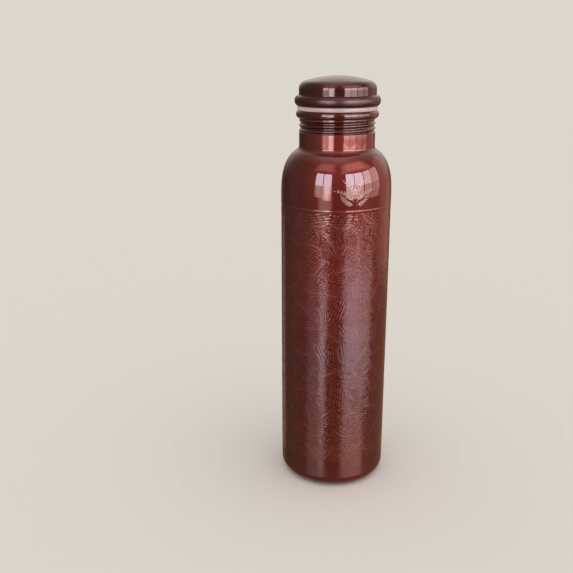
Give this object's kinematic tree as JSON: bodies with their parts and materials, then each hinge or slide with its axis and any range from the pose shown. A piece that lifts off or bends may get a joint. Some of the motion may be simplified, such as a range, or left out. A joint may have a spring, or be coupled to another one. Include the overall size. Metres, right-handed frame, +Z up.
{
  "type": "copper water bottle",
  "caption": "Slim copper water bottle with an embossed lacquered wall, a rolled neck thread and a domed screw cap on a silicone seal.",
  "frame": {"origin": "middle of the foot, on the surface that the bottle stands on", "axes": "+Z up along the bottle's axis; the bottle is round, so X and Y are free, and -Y is the front, with the printed sprig a little to its right"},
  "size_m": [0.0742, 0.0742, 0.2808],
  "materials": {
    "vessel_lacquer": "dark red-brown tinted lacquer, glossy, over copper",
    "cap_lacquer": "dark red-brown tinted lacquer, glossy, over copper",
    "bare_copper": "bare copper, satin",
    "silicone": "translucent pale silicone, satin"
  },
  "bodies": {
    "bottle": {"base_cup": "vessel_lacquer", "body_tube": "vessel_lacquer", "shoulder_neck": "vessel_lacquer"},
    "seal": {"seal_ring": "silicone"},
    "cap": {"cap_shell": "cap_lacquer", "cap_plug": "bare_copper", "plug_disc": "bare_copper"}
  },
  "joints": [
    {"name": "cap_rise", "type": "slide", "parent": "bottle", "child": "seal", "axis": [0, 0, 1], "range_m": [0, 0.0164]},
    {"name": "cap_turn", "type": "hinge", "parent": "seal", "child": "cap", "pos_m": [0, 0, 0.265], "axis": [0, 0, 1], "range_deg": [0, 1800]}
  ],
  "couplings": [
    {"joint": "cap_rise", "follows": "cap_turn", "m_per_rad": 0.00051884}
  ]
}
